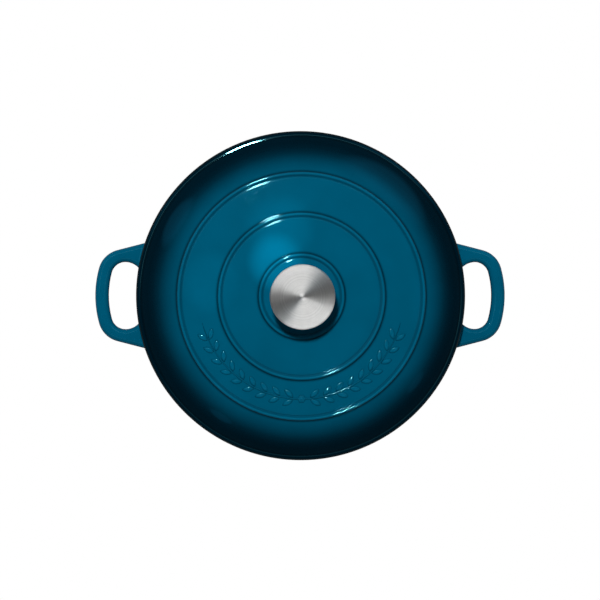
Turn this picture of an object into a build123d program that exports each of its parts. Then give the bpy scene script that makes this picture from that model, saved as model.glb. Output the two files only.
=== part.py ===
"""Round cast iron casserole: a pot with two loop handles, a loose domed lid, and a steel knob on a screw.

Millimetres. The origin is the middle of the base's resting plane, +Z is up and the handles lie along X.
"""

from build123d import *
import os
from math import atan2, cos, degrees, radians, sin, sqrt, tan

# ---- Pot -------------------------------------------------------------------------------------
mouth_diameter = 260.0  # inside, at the rim
pot_height = 115.0  # resting plane to rim
wall = 3.8
base_thickness = 4.5
wall_draft = 3.0  # degrees from upright, wider at the top
corner_radius = 28.0  # outside, from base to wall
rim_rounding = 1.1
foot_recess_depth = 0.8  # the middle of the base stands clear of the hob
foot_recess_radius = 66.0
foot_recess_slope = 2.4  # width of the slope from the recess to the resting ring

# ---- Handles, one on each side of the pot --------------------------------------------------------
handle_reach = 34.3  # how far the tip stands out from the lid's edge
handle_bar = 11.0  # width of the bar seen from above
handle_tip_radius = 86.0  # outer curve of the bar's tip
handle_corner_radius = 21.2
handle_corner_turn = 15.3  # degrees along the tip curve where the outer corner begins
handle_side_slope = 14.5  # degrees, how fast the loop's sides spread towards the pot
handle_gap_half = 28.3  # half of the finger gap's length
handle_gap_corner = 11.5
handle_root_curve = 15.0  # curve of the gap's side as it spreads into the root
handle_root_turn = 80.0  # degrees turned by that curve
handle_root_height = 14.6
handle_tip_height = 10.8
handle_drop = 8.0  # rim down to the handle's upper side
handle_edge_rounding = 4.2
handle_root_fillet = 3.5

# ---- Lid ---------------------------------------------------------------------------------------
lid_overhang = 1.2  # the lid's edge stands out past the rim
lid_wall = 3.8
lid_rise = 27.5  # seat plane to the crown of the dome
crown_radius = 800.0  # of the shallow dome inside the outer ring
shoulder_lean = 15.0  # degrees, slope of the shoulder where it leaves the outer ring
shoulder_end = 4.3  # lid's edge in to the foot of the shoulder
shoulder_fillet = 2.5
flange_height = 5.2  # seat plane to the top of the rounded edge band
flange_rounding = 3.0
seat_rounding = 0.8
outer_ring_inset = 35.8  # lid's edge in to the crest of the outer ring
ring_spacing = 33.0
ring_count = 3
ring_height = 1.5
ring_bead_radius = 2.2
ring_inner_fillet = 0.8
ring_outer_fillet = 2.0
mouth_clearance = 1.6  # locating skirt to the pot's mouth, each side
locating_skirt_width = 3.4
locating_skirt_depth = 5.0  # below the seat plane
locating_skirt_rounding = 1.2
under_shoulder_height = 3.4  # seat plane up to the end of the curve under the shoulder
knob_seat_radius = 17.0
knob_seat_height = 0.6  # above the crown
washer_boss_radius = 9.0
washer_boss_depth = 1.0
screw_hole_clearance = 0.4
drip_point_spacing = 24.0  # between circles of drip points, and from the axis to the first
drip_point_circles = 4
drip_points_first_circle = 6  # the next circles hold two, three and four times as many
drip_point_radius = 2.2
drip_point_height = 1.8

# ---- Raised leaf garland on the lid, between the two outer rings -----------------------------------
garland_height = 1.2
garland_reach = 70.0  # degrees each side of the front
leaf_pairs = 8  # on each side of the middle rosette
leaf_length = 9.0
leaf_width = 3.8
leaf_slant = 35.0  # degrees between a leaf and the stem
leaf_offset = 3.7  # stem to a leaf's middle
stem_width = 1.1
rosette_radius = 3.2

# ---- Knob ----------------------------------------------------------------------------------------
knob_diameter = 52.0
knob_height = 29.0  # gasket to the top of the cap
knob_sheet = 1.2  # steel sheet of the cap and the stem
cap_crown = 1.0  # how far the cap's middle stands above its edge
cap_lip = 3.6  # height of the cap's turned-down edge
cap_edge_rounding = 1.0
cap_land = 1.6  # flat ring inside the cap where the stem's upper edge bears
cap_dimple_radius = 3.0
cap_dimple_depth = 0.3
stem_foot_radius = 14.0
stem_foot_height = 2.4  # straight part inside the foot, where the insert is pressed in
stem_neck_radius = 11.0
stem_neck_height = 7.5
stem_flare_tuck = 0.6  # the flare ends this far up inside the cap's lip
press_clearance = 0.05
gasket_thickness = 1.0
gasket_margin = 0.8  # gasket past the knob's foot
insert_flange_thickness = 2.0
insert_hub_radius = 6.0
insert_top_wall = 3.5
screw_diameter = 6.0
thread_clearance = 0.05
screw_engagement = 10.0
screw_end_gap = 1.5
screw_head_radius = 6.0
screw_head_height = 3.8
screw_head_rounding = 1.6
screw_recess_width = 1.7
screw_recess_length = 6.4
screw_recess_depth = 2.2
plain_washer_radius = 7.0
plain_washer_thickness = 1.4
lock_washer_radius = 5.6
lock_washer_thickness = 1.5
lock_washer_slit = 1.2
washer_clearance = 0.35

# ---- Worked out from the sizes above ---------------------------------------------------------------
mouth_radius = mouth_diameter / 2
rim_radius = mouth_radius + wall
lid_radius = rim_radius + lid_overhang
seat_height = pot_height
crown_height = seat_height + lid_rise
ring_radii = [lid_radius - outer_ring_inset - n * ring_spacing for n in range(ring_count)]
locating_skirt_outer = mouth_radius - mouth_clearance
locating_skirt_inner = locating_skirt_outer - locating_skirt_width
shaft_radius = screw_diameter / 2
screw_hole_radius = shaft_radius + screw_hole_clearance
knob_radius = knob_diameter / 2
washer_face = crown_height - lid_wall - washer_boss_depth
gasket_bottom = crown_height + knob_seat_height
knob_base = gasket_bottom + gasket_thickness
cap_top = knob_base + knob_height
cap_edge_top = cap_top - cap_crown
cap_lip_bottom = cap_edge_top - cap_lip
surface_tolerance = 0.01  # for finding edges by where they lie
circle_tolerance = 0.3
cap_inner_radius = knob_radius - knob_sheet
land_height = cap_edge_top - knob_sheet


def point_on_circle(radius, angle):
    """The point at an angle in degrees on a circle about the origin."""
    return (radius * cos(radians(angle)), radius * sin(radians(angle)))


def arc_radius(across, along):
    """Radius of the arc that leaves along one direction and ends this far across and along it."""
    return (across**2 + along**2) / (2 * across)


def dome_height(radius, sunk=0.0):
    """Height of the lid's shallow dome at a radius, or of the dome sunk by a thickness."""
    return crown_height - crown_radius + sqrt((crown_radius - sunk) ** 2 - radius**2)


def axis_distance(point):
    return sqrt(point.X**2 + point.Y**2)


def lies_on(edge, radius_at):
    """Whether an edge lies on the surface of revolution that has this radius at each height."""
    points = [edge @ 0, edge @ 0.5, edge @ 1]
    return all(abs(axis_distance(point) - radius_at(point.Z)) < surface_tolerance for point in points)


def circles_at(part, radii):
    """The part's circular edges about the axis whose radius is about one of these."""
    circles = part.edges().filter_by(GeomType.CIRCLE).filter_by(lambda edge: edge.is_closed)
    distances = [(edge, axis_distance(edge @ 0)) for edge in circles]
    return ShapeList(edge for edge, out in distances if any(abs(out - r) < circle_tolerance for r in radii))


# ---- Handle blank: the loop in plan, thinned towards its tip -----------------------------------------
tip_centre = lid_radius + handle_reach - handle_tip_radius
handle_top = pot_height - handle_drop
mid_wall_radius = mouth_radius + wall / 2 - (handle_drop + handle_root_height / 2) * tan(radians(wall_draft))
inside_pot = mid_wall_radius - 2 * handle_root_curve  # the blank is drawn in to here, then cut at mid wall
gap_tip_radius = handle_tip_radius - handle_bar
gap_corner_reach = gap_tip_radius - handle_gap_corner
gap_turn = degrees(atan2(handle_gap_half - handle_gap_corner, gap_corner_reach))


def from_tip_centre(radius, angle):
    x, y = point_on_circle(radius, angle)
    return (tip_centre + x, y)


with BuildPart() as handle:
    with BuildSketch(Plane.XY):
        with BuildLine():
            side_angle = 90 - handle_side_slope
            tip = from_tip_centre(handle_tip_radius, 0)
            tip_middle = from_tip_centre(handle_tip_radius, handle_corner_turn / 2)
            tip_end = from_tip_centre(handle_tip_radius, handle_corner_turn)
            corner_reach = handle_tip_radius - handle_corner_radius
            corner_centre = Vector(*from_tip_centre(corner_reach, handle_corner_turn))
            half_way = (handle_corner_turn + side_angle) / 2
            corner_middle = corner_centre + Vector(*point_on_circle(handle_corner_radius, half_way))
            corner_end = corner_centre + Vector(*point_on_circle(handle_corner_radius, side_angle))
            side_rise = (corner_end.X - inside_pot) * tan(radians(handle_side_slope))
            ThreePointArc(tip, tip_middle, tip_end)
            ThreePointArc(tip_end, corner_middle, corner_end)
            Polyline(corner_end, (inside_pot, corner_end.Y + side_rise), (inside_pot, 0))
            Line((inside_pot, 0), tip)
        make_face()
        with BuildLine():
            gap_tip = from_tip_centre(gap_tip_radius, 0)
            gap_start = from_tip_centre(gap_tip_radius, gap_turn)
            gap_corner = Vector(*from_tip_centre(gap_corner_reach, gap_turn))
            gap_peak = gap_corner + Vector(0, handle_gap_corner)
            root_centre = gap_peak - Vector(0, handle_root_curve)
            gap_root = root_centre + Vector(*point_on_circle(handle_root_curve, 90 + handle_root_turn))
            RadiusArc(gap_tip, gap_start, -gap_tip_radius)
            RadiusArc(gap_start, gap_peak, -handle_gap_corner)
            RadiusArc(gap_peak, gap_root, -handle_root_curve)
            Polyline(gap_root, (inside_pot, gap_root.Y / 2), (inside_pot, 0))
            Line((inside_pot, 0), gap_tip)
        make_face(mode=Mode.SUBTRACT)
        mirror(about=Plane.XZ)
        Circle(mid_wall_radius, mode=Mode.SUBTRACT)
    extrude(amount=handle_top)
    with BuildSketch(Plane.XZ):
        with BuildLine():
            Polyline(
                (inside_pot, handle_top),
                (lid_radius + handle_reach, handle_top),
                (lid_radius + handle_reach, handle_top - handle_tip_height),
                (inside_pot, handle_top - handle_root_height),
                close=True,
            )
        make_face()
    extrude(amount=lid_radius, both=True, mode=Mode.INTERSECT)
    cut_edges = [edge for edge in handle.edges() if lies_on(edge, lambda height: mid_wall_radius)]
    kept_sharp = cut_edges + handle.edges().filter_by(Axis.Z)
    fillet([edge for edge in handle.edges() if edge not in kept_sharp], radius=handle_edge_rounding)

# ---- Pot casting -------------------------------------------------------------------------------------
draft_run = pot_height * tan(radians(wall_draft))
inner_draft_run = (pot_height - base_thickness) * tan(radians(wall_draft))
foot_inner_radius = foot_recess_radius + foot_recess_slope


def outside_radius(height):
    """Radius of the pot's drafted outside at a height above the corner."""
    return rim_radius - (pot_height - height) * tan(radians(wall_draft))


with BuildPart() as pot_body:
    with BuildSketch(Plane.XZ):
        with BuildLine():
            FilletPolyline(
                (foot_inner_radius, 0),
                (rim_radius - draft_run, 0),
                (rim_radius, pot_height),
                radius=corner_radius,
            )
            FilletPolyline(
                (0, base_thickness),
                (mouth_radius - inner_draft_run, base_thickness),
                (mouth_radius, pot_height),
                radius=corner_radius - wall,
            )
            Line((rim_radius, pot_height), (mouth_radius, pot_height))
            Polyline(
                (0, base_thickness),
                (0, foot_recess_depth),
                (foot_recess_radius, foot_recess_depth),
                (foot_inner_radius, 0),
            )
        make_face()
    revolve(axis=Axis.Z)
    fillet(pot_body.edges().group_by(Axis.Z)[-1], radius=rim_rounding)
    body_edges = pot_body.edges()
    add(handle.part)
    mirror(handle.part, about=Plane.YZ)
    new_edges = [edge for edge in pot_body.edges() if edge not in body_edges]
    joint_edges = [edge for edge in new_edges if lies_on(edge, outside_radius)]
    fillet(joint_edges, radius=handle_root_fillet)
pot_body.part.label = "pot_body"

# ---- Lid casting -------------------------------------------------------------------------------------
shoulder_radius = ring_radii[0]
shoulder_foot = lid_radius - shoulder_end
flange_top = seat_height + flange_height
under_shoulder_radius = shoulder_radius - lid_wall * sin(radians(shoulder_lean))
under_shoulder_end = seat_height + under_shoulder_height
skirt_bottom = seat_height - locating_skirt_depth
ring_centre_sunk = ring_bead_radius - ring_height
ring_half_width = sqrt(ring_bead_radius**2 - ring_centre_sunk**2)
down_shoulder = (cos(radians(shoulder_lean)), -sin(radians(shoulder_lean)))

garland_radius = sum(ring_radii[:2]) / 2
garland_step = garland_reach / (leaf_pairs + 1)
garland_front = -90.0  # the garland's middle, in degrees about the axis


def leaf_places():
    """Places of the leaves, in pairs that point away from the rosette along both arms of the stem."""
    places = []
    for arm in (-1, 1):
        for pair in range(1, leaf_pairs + 1):
            angle = garland_front + arm * pair * garland_step
            for side in (-1, 1):
                x, y = point_on_circle(garland_radius + side * leaf_offset, angle)
                places.append(Location((x, y), angle + arm * 90 - arm * side * leaf_slant))
    return places


with BuildPart(mode=Mode.PRIVATE) as garland:
    with BuildSketch(Plane.XY.offset(seat_height)):
        with Locations(*leaf_places()):
            Ellipse(leaf_length / 2, leaf_width / 2)
        with Locations(point_on_circle(garland_radius, garland_front)):
            Circle(rosette_radius)
        with BuildLine():
            CenterArc((0, 0), garland_radius, garland_front - garland_reach, 2 * garland_reach)
        trace(line_width=stem_width)
    extrude(amount=crown_height)
    with BuildSketch(Plane.XZ):
        with BuildLine():
            raised_middle = (garland_radius, dome_height(garland_radius, -garland_height))
            raised_edge = (shoulder_radius, dome_height(shoulder_radius, -garland_height))
            sunk_edge = (shoulder_radius, dome_height(shoulder_radius, lid_wall / 2))
            sunk_middle = (garland_radius, dome_height(garland_radius, lid_wall / 2))
            raised_top = (0, crown_height + garland_height)
            sunk_top = (0, crown_height - lid_wall / 2)
            ThreePointArc(raised_top, raised_middle, raised_edge)
            Line(raised_edge, sunk_edge)
            ThreePointArc(sunk_edge, sunk_middle, sunk_top)
            Line(sunk_top, raised_top)
        make_face()
    revolve(axis=Axis.Z, mode=Mode.INTERSECT)

with BuildPart() as lid:
    with BuildSketch(Plane.XZ):
        with BuildLine():
            knob_seat_edge = (knob_seat_radius, dome_height(knob_seat_radius))
            dome_middle = (shoulder_radius / 2, dome_height(shoulder_radius / 2))
            dome_edge = (shoulder_radius, dome_height(shoulder_radius))
            Polyline(
                (screw_hole_radius, washer_face),
                (screw_hole_radius, gasket_bottom),
                (knob_seat_radius, gasket_bottom),
                knob_seat_edge,
            )
            ThreePointArc(knob_seat_edge, dome_middle, dome_edge)
            TangentArc(dome_edge, (shoulder_foot, flange_top), tangent=down_shoulder)
            Polyline(
                (shoulder_foot, flange_top),
                (lid_radius, flange_top),
                (lid_radius, seat_height),
                (locating_skirt_outer, seat_height),
                (locating_skirt_outer, skirt_bottom),
                (locating_skirt_inner, skirt_bottom),
                (locating_skirt_inner, under_shoulder_end),
            )
            under_edge = (under_shoulder_radius, dome_height(under_shoulder_radius, lid_wall))
            under_middle = (shoulder_radius / 2, dome_height(shoulder_radius / 2, lid_wall))
            under_boss = (washer_boss_radius, dome_height(washer_boss_radius, lid_wall))
            TangentArc(under_edge, (locating_skirt_inner, under_shoulder_end), tangent=down_shoulder)
            ThreePointArc(under_edge, under_middle, under_boss)
            Polyline(under_boss, (washer_boss_radius, washer_face), (screw_hole_radius, washer_face))
        make_face()
        for ring_radius in ring_radii:
            with Locations((ring_radius, dome_height(ring_radius) - ring_centre_sunk)):
                Circle(ring_bead_radius)
    revolve(axis=Axis.Z)
    for edges, rounding in (
        (circles_at(lid, [radius - ring_half_width for radius in ring_radii]), ring_inner_fillet),
        (circles_at(lid, [radius + ring_half_width for radius in ring_radii]), ring_outer_fillet),
        (circles_at(lid, [shoulder_foot]), shoulder_fillet),
        (circles_at(lid, [lid_radius]).sort_by(Axis.Z)[-1:], flange_rounding),
        (circles_at(lid, [lid_radius]).sort_by(Axis.Z)[:1], seat_rounding),
        (lid.edges().group_by(Axis.Z)[0], locating_skirt_rounding),
    ):
        fillet(edges, radius=rounding)
    add(garland.part)
    for circle in range(1, drip_point_circles + 1):
        distance = circle * drip_point_spacing
        middle = dome_height(distance, lid_wall) - drip_point_height + drip_point_radius
        with Locations((0, 0, middle)):
            with PolarLocations(distance, circle * drip_points_first_circle):
                Sphere(drip_point_radius)
lid.part.label = "lid"

# ---- Knob cap: a pressed steel disc with a turned-down lip ---------------------------------------------
land_inner_radius = cap_inner_radius - cap_land
crown_arc = arc_radius(cap_crown, knob_radius)
crown_centre = cap_top - crown_arc

with BuildPart() as knob_cap:
    with BuildSketch(Plane.XZ):
        with BuildLine():
            half_out = knob_radius / 2
            half_in = land_inner_radius / 2
            in_arc = arc_radius(cap_top - knob_sheet - land_height, land_inner_radius)
            dimple_edge = (cap_dimple_radius, crown_centre + sqrt(crown_arc**2 - cap_dimple_radius**2))
            Line((0, cap_top - cap_dimple_depth), dimple_edge)
            ThreePointArc(
                dimple_edge,
                (half_out, crown_centre + sqrt(crown_arc**2 - half_out**2)),
                (knob_radius, cap_edge_top),
            )
            Polyline(
                (knob_radius, cap_edge_top),
                (knob_radius, cap_lip_bottom),
                (cap_inner_radius, cap_lip_bottom),
                (cap_inner_radius, land_height),
                (land_inner_radius, land_height),
            )
            ThreePointArc(
                (land_inner_radius, land_height),
                (half_in, cap_top - knob_sheet - in_arc + sqrt(in_arc**2 - half_in**2)),
                (0, cap_top - knob_sheet),
            )
            Line((0, cap_top - knob_sheet), (0, cap_top - cap_dimple_depth))
        make_face()
    revolve(axis=Axis.Z)
    fillet(circles_at(knob_cap, [knob_radius]).sort_by(Axis.Z)[-1:], radius=cap_edge_rounding)
knob_cap.part.label = "knob_cap"

# ---- Knob stem: a trumpet of steel sheet between the gasket and the cap ---------------------------------
stem_rim_radius = cap_inner_radius - press_clearance
neck_height = knob_base + stem_neck_height
foot_height = knob_base + stem_foot_height
flare_end = cap_lip_bottom + stem_flare_tuck
foot_arc = arc_radius(stem_foot_radius - stem_neck_radius, neck_height - foot_height)
flare_arc = arc_radius(stem_rim_radius - stem_neck_radius, flare_end - neck_height)


def stem_side(inset):
    """The stem's side from its base to its rim, moved inwards by a thickness, and closed to the axis."""
    neck = (stem_neck_radius - inset, neck_height)
    foot_centre = stem_neck_radius - knob_sheet + foot_arc
    flare_centre = stem_neck_radius + flare_arc
    foot_x = stem_foot_radius - inset
    rim_x = stem_rim_radius - inset
    foot_z = neck_height - sqrt((foot_arc - knob_sheet + inset) ** 2 - (foot_centre - foot_x) ** 2)
    rim_z = neck_height + sqrt((flare_arc + inset) ** 2 - (flare_centre - rim_x) ** 2)
    Polyline((0, knob_base), (foot_x, knob_base), (foot_x, foot_z))
    TangentArc(neck, (foot_x, foot_z), tangent=(0, -1))
    TangentArc(neck, (rim_x, rim_z), tangent=(0, 1))
    Polyline((rim_x, rim_z), (rim_x, land_height), (0, land_height), (0, knob_base))


with BuildPart() as knob_stem:
    with BuildSketch(Plane.XZ):
        with BuildLine():
            stem_side(0)
        make_face()
        with BuildLine():
            stem_side(knob_sheet)
        make_face(mode=Mode.SUBTRACT)
    revolve(axis=Axis.Z)
knob_stem.part.label = "knob_stem"

# ---- Threaded insert, pressed into the stem's foot ------------------------------------------------------
insert_flange_radius = stem_foot_radius - knob_sheet - press_clearance
bore_depth = screw_engagement + screw_end_gap

with BuildPart() as knob_insert:
    with BuildSketch(Plane.XY.offset(knob_base)):
        Circle(insert_flange_radius)
    extrude(amount=insert_flange_thickness)
    with BuildSketch(Plane.XY.offset(knob_base)):
        Circle(insert_hub_radius)
    extrude(amount=bore_depth + insert_top_wall)
    with BuildSketch(Plane.XY.offset(knob_base)):
        Circle(shaft_radius + thread_clearance)
    extrude(amount=bore_depth, mode=Mode.SUBTRACT)
knob_insert.part.label = "knob_insert"

# ---- Gasket between the knob and the lid's enamel --------------------------------------------------------
with BuildPart() as knob_gasket:
    with BuildSketch(Plane.XY.offset(gasket_bottom)):
        Circle(stem_foot_radius + gasket_margin)
        Circle(screw_hole_radius, mode=Mode.SUBTRACT)
    extrude(amount=gasket_thickness)
knob_gasket.part.label = "knob_gasket"

# ---- Washers and screw, from below the lid ----------------------------------------------------------------
washer_hole_radius = shaft_radius + washer_clearance
plain_washer_bottom = washer_face - plain_washer_thickness
screw_seat = plain_washer_bottom - lock_washer_thickness
screw_bottom = screw_seat - screw_head_height
screw_tip = knob_base + screw_engagement

with BuildPart() as plain_washer:
    with BuildSketch(Plane.XY.offset(plain_washer_bottom)):
        Circle(plain_washer_radius)
        Circle(washer_hole_radius, mode=Mode.SUBTRACT)
    extrude(amount=plain_washer_thickness)
plain_washer.part.label = "plain_washer"

with BuildPart() as lock_washer:
    with BuildSketch(Plane.XY.offset(screw_seat)):
        Circle(lock_washer_radius)
        Circle(washer_hole_radius, mode=Mode.SUBTRACT)
        with Locations((lock_washer_radius, 0)):
            Rectangle(2 * lock_washer_radius, lock_washer_slit, mode=Mode.SUBTRACT)
    extrude(amount=lock_washer_thickness)
lock_washer.part.label = "lock_washer"

with BuildPart() as knob_screw:
    with BuildSketch(Plane.XY.offset(screw_bottom)):
        Circle(screw_head_radius)
    extrude(amount=screw_head_height)
    fillet(knob_screw.edges().group_by(Axis.Z)[0], radius=screw_head_rounding)
    with BuildSketch(Plane.XY.offset(screw_seat)):
        Circle(shaft_radius)
    extrude(amount=screw_tip - screw_seat)
    with BuildSketch(Plane.XY.offset(screw_bottom)):
        Rectangle(screw_recess_length, screw_recess_width)
        Rectangle(screw_recess_width, screw_recess_length)
    extrude(amount=screw_recess_depth, mode=Mode.SUBTRACT)
knob_screw.part.label = "knob_screw"

# ---- Write each piece ------------------------------------------------------------------------------------
pieces = (
    pot_body,
    lid,
    knob_cap,
    knob_stem,
    knob_insert,
    knob_gasket,
    plain_washer,
    lock_washer,
    knob_screw,
)
os.makedirs("parts", exist_ok=True)
for piece in pieces:
    export_step(piece.part, f"parts/{piece.part.label}.step")
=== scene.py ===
from math import acos, atan2, ceil, cos, hypot, pi, radians, sin, sqrt, tan

import bmesh
import bpy
from bpy.props import FloatProperty, FloatVectorProperty, IntProperty, PointerProperty
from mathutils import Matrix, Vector


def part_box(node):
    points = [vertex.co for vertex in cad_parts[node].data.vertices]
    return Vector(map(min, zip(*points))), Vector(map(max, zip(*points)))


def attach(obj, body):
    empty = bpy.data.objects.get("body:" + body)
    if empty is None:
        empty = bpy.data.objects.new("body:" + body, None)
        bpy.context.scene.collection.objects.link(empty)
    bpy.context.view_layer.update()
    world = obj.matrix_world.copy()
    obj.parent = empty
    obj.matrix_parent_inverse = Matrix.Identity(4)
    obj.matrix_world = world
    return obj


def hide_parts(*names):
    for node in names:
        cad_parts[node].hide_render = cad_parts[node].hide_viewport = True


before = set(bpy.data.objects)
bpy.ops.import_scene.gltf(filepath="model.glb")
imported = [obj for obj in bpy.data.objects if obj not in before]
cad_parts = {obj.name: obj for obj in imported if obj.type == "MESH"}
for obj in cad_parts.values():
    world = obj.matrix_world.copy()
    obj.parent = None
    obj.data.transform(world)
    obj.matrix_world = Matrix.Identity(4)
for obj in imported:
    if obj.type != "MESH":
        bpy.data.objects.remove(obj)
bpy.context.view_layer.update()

bl_info = {
    "name": "Cast Iron Casserole",
    "version": (1, 0, 0),
    "blender": (4, 5, 0),
    "location": "View3D > Sidebar > Casserole",
    "description": "Builds the enamelled lid, the pot and the brushed steel knob of a cast iron casserole",
    "category": "Object",
}

LID_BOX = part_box("lid")
POT_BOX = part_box("pot_body")
CAP_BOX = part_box("knob_cap")
STEM_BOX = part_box("knob_stem")
GASKET_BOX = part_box("knob_gasket")
MM = 0.001


# ---- Sizes and colours ----


def length(name, description, default):
    return FloatProperty(
        name=name, description=description, default=default, unit="LENGTH", subtype="DISTANCE", precision=5
    )


def angle(name, description, degrees):
    return FloatProperty(name=name, description=description, default=radians(degrees), subtype="ANGLE")


def colour(name, description, default):
    return FloatVectorProperty(
        name=name, description=description, default=default, size=3, min=0.0, max=1.0, subtype="COLOR"
    )


class CasseroleLidSizes(bpy.types.PropertyGroup):
    """Sizes of the lid that the CAD boxes don't give."""

    radius: length("Radius", "Lid's axis to its edge", LID_BOX[1].x)
    seat: length("Seat height", "Where the lid rests on the pot's rim", POT_BOX[1].z)
    knob_seat: length("Knob seat height", "Top of the flat pad under the knob", GASKET_BOX[0].z)
    knob_seat_rise: length("Knob seat rise", "The pad's height above the crown", 0.0006)
    knob_seat_radius: length("Knob seat radius", "Radius of the flat pad under the knob", 0.017)
    hole_radius: length("Hole radius", "Radius of the screw's hole", 0.0034)
    dome_radius: length("Dome radius", "Radius of the shallow dome", 0.8)
    wall: length("Wall", "Thickness of the iron", 0.0038)
    shoulder_lean: angle("Shoulder lean", "Slope of the shoulder where it leaves the outer ring", 15.0)
    shoulder_end: length("Shoulder end", "Lid's edge in to the foot of the shoulder", 0.0043)
    shoulder_fillet: length("Shoulder fillet", "Curve between the shoulder and the edge band", 0.0003)
    band_height: length("Band height", "Seat to the top of the rounded edge band", 0.0052)
    band_fall: angle("Band fall", "Slope of the edge band's top, down towards the edge", 8.6)
    band_rounding: length("Band rounding", "Rounding of the edge band's outer corner", 0.0042)
    seat_rounding: length("Seat rounding", "Rounding of the lower corner of the edge", 0.0008)
    outer_ring: length("Outer ring inset", "Lid's edge in to the crest of the outer ring", 0.0354)
    ring_spacing: length("Ring spacing", "Distance between ring crests", 0.033)
    ring_count: IntProperty(name="Rings", description="Number of raised rings", default=3, min=1)
    ring_height: length("Ring height", "Crest of a ring above the lid", 0.0015)
    skirt_outer: length("Skirt radius", "Outside of the locating skirt", 0.1284)
    skirt_width: length("Skirt width", "Thickness of the locating skirt", 0.0034)
    skirt_rounding: length("Skirt rounding", "Rounding of the skirt's lower corners", 0.0012)
    boss_radius: length("Boss radius", "Pad for the washer under the lid", 0.009)
    boss_depth: length("Boss depth", "Depth of the pad under the lid", 0.001)
    under_shoulder: length("Under the shoulder", "Seat up to the end of the curve under the shoulder", 0.0034)
    drip_spacing: length("Drip point spacing", "Between the circles of drip points", 0.024)
    drip_circles: IntProperty(name="Drip circles", description="Circles of drip points", default=4)
    drip_height: length("Drip point height", "How far a drip point hangs down", 0.0018)
    drip_radius: length("Drip point radius", "Radius of a drip point's round end", 0.0022)
    columns: IntProperty(name="Columns", description="Faces round the lid", default=384, min=48)


class CasseroleRingSizes(bpy.types.PropertyGroup):
    """Sizes of a raised ring's section: a level edge, a groove and a bead."""

    start: length("Start", "Crest in to where the lid starts to fall into the groove", 0.0037)
    edge: length("Edge", "Curve from the lid into the groove", 0.0014)
    groove: length("Groove", "Curve of the groove's bottom", 0.0006)
    bead: length("Bead", "Curve of the bead's crest", 0.0013)
    fall: angle("Fall", "Slope down into the groove", 35.0)
    rise: angle("Rise", "Slope up from the groove to the bead", 42.0)
    flank: angle("Flank", "Slope of the bead's outer side", 62.0)


class CasseroleGarlandSizes(bpy.types.PropertyGroup):
    """Sizes of the raised leaves between the two outer rings."""

    reach: angle("Reach", "Turn from the middle of the garland to each end", 75.0)
    pairs: IntProperty(name="Leaf pairs", description="Pairs of leaves on each arm", default=9, min=1)
    leaf_length: length("Leaf length", "Length of a leaf", 0.0094)
    leaf_width: length("Leaf width", "Width of a leaf", 0.0042)
    leaf_slant: angle("Leaf slant", "Turn between a leaf and the stem", 35.0)
    leaf_offset: length("Leaf offset", "Stem to the middle of a leaf", 0.0037)
    height: length("Height", "Height of the relief above the dome", 0.0012)
    stem_width: length("Stem width", "Width of the stem", 0.0013)
    rosette_radius: length("Rosette radius", "Radius of the rosette in the middle", 0.0034)


class CasseroleKnobSizes(bpy.types.PropertyGroup):
    """Sizes of the knob that the CAD boxes don't give."""

    sheet: length("Sheet", "Thickness of the steel sheet", 0.0012)
    crown: length("Crown", "The cap's middle above its edge", 0.001)
    bevel: length("Bevel", "Rounding of the cap's upper edge", 0.001)
    dimple_radius: length("Dimple", "Radius of the hollow in the middle of the cap", 0.003)
    neck_radius: length("Neck radius", "Narrowest radius of the stem", 0.011)
    neck_height: length("Neck height", "Gasket to the neck", 0.0075)
    foot_radius: length("Foot radius", "Radius of the stem's foot", 0.014)
    foot_height: length("Foot height", "Straight part of the foot", 0.0024)
    land: length("Land", "Flat ring inside the cap where the stem's edge bears", 0.0016)
    tuck: length("Tuck", "How far the flare ends inside the cap's lip", 0.0006)
    columns: IntProperty(name="Columns", description="Faces round the knob", default=192, min=48)


class CasserolePotSizes(bpy.types.PropertyGroup):
    """Sizes of the pot that its enamels follow."""

    rim_radius: length("Rim radius", "Outside of the pot at its rim", 0.1338)
    wall: length("Wall", "Thickness of the iron", 0.0038)
    draft: angle("Draft", "How far the wall leans out from upright", 3.0)
    corner: length("Corner", "Outer curve from the base to the wall", 0.028)
    corner_centre: length("Corner centre", "Axis to the centre of that curve", 0.1012)


class CasseroleColours(bpy.types.PropertyGroup):
    """Colours of the enamels, steels and stage."""

    teal: colour("Teal", "Enamel on the lid's dome and the pot's upper wall", (0.0, 0.094, 0.172))
    night: colour("Night", "Enamel at the lid's edge and the pot's foot", (0.0, 0.006, 0.012))
    cream: colour("Cream", "Enamel inside the pot", (0.8, 0.75, 0.64))
    rim: colour("Rim", "Matte enamel on the rim and the lid's seat", (0.012, 0.012, 0.013))
    steel: colour("Steel", "Brushed and polished steel", (0.74, 0.74, 0.73))
    silicone: colour("Silicone", "Gasket under the knob", (0.02, 0.02, 0.021))
    floor: colour("Floor", "Pale floor of the stage", (1.0, 1.0, 1.0))
    softbox: colour("Softboxes", "Light of the soft boxes round the stage", (0.12, 0.62, 1.0))


# ---- Outlines ----


def arc(centre, radius, start, end, steps):
    """Points along an arc from one angle to another, in radians."""
    turns = [start + (end - start) * k / steps for k in range(steps + 1)]
    return [(centre[0] + radius * cos(turn), centre[1] + radius * sin(turn)) for turn in turns]


def spaced(start, end, steps):
    """Evenly spaced values from start to end, without the first."""
    return [start + (end - start) * (k / steps) for k in range(1, steps + 1)]


def falling_arc(start, height, end, drop, lean):
    """Height at a radius on an arc that leaves the start at a slope and has dropped by so much at the end."""
    chord = atan2(drop, end - start)
    bend = hypot(drop, end - start) / (2 * sin(chord - lean))
    middle, level = start - bend * sin(lean), height - bend * cos(lean)
    return lambda radius: level + sqrt(bend**2 - (radius - middle) ** 2)


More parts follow.
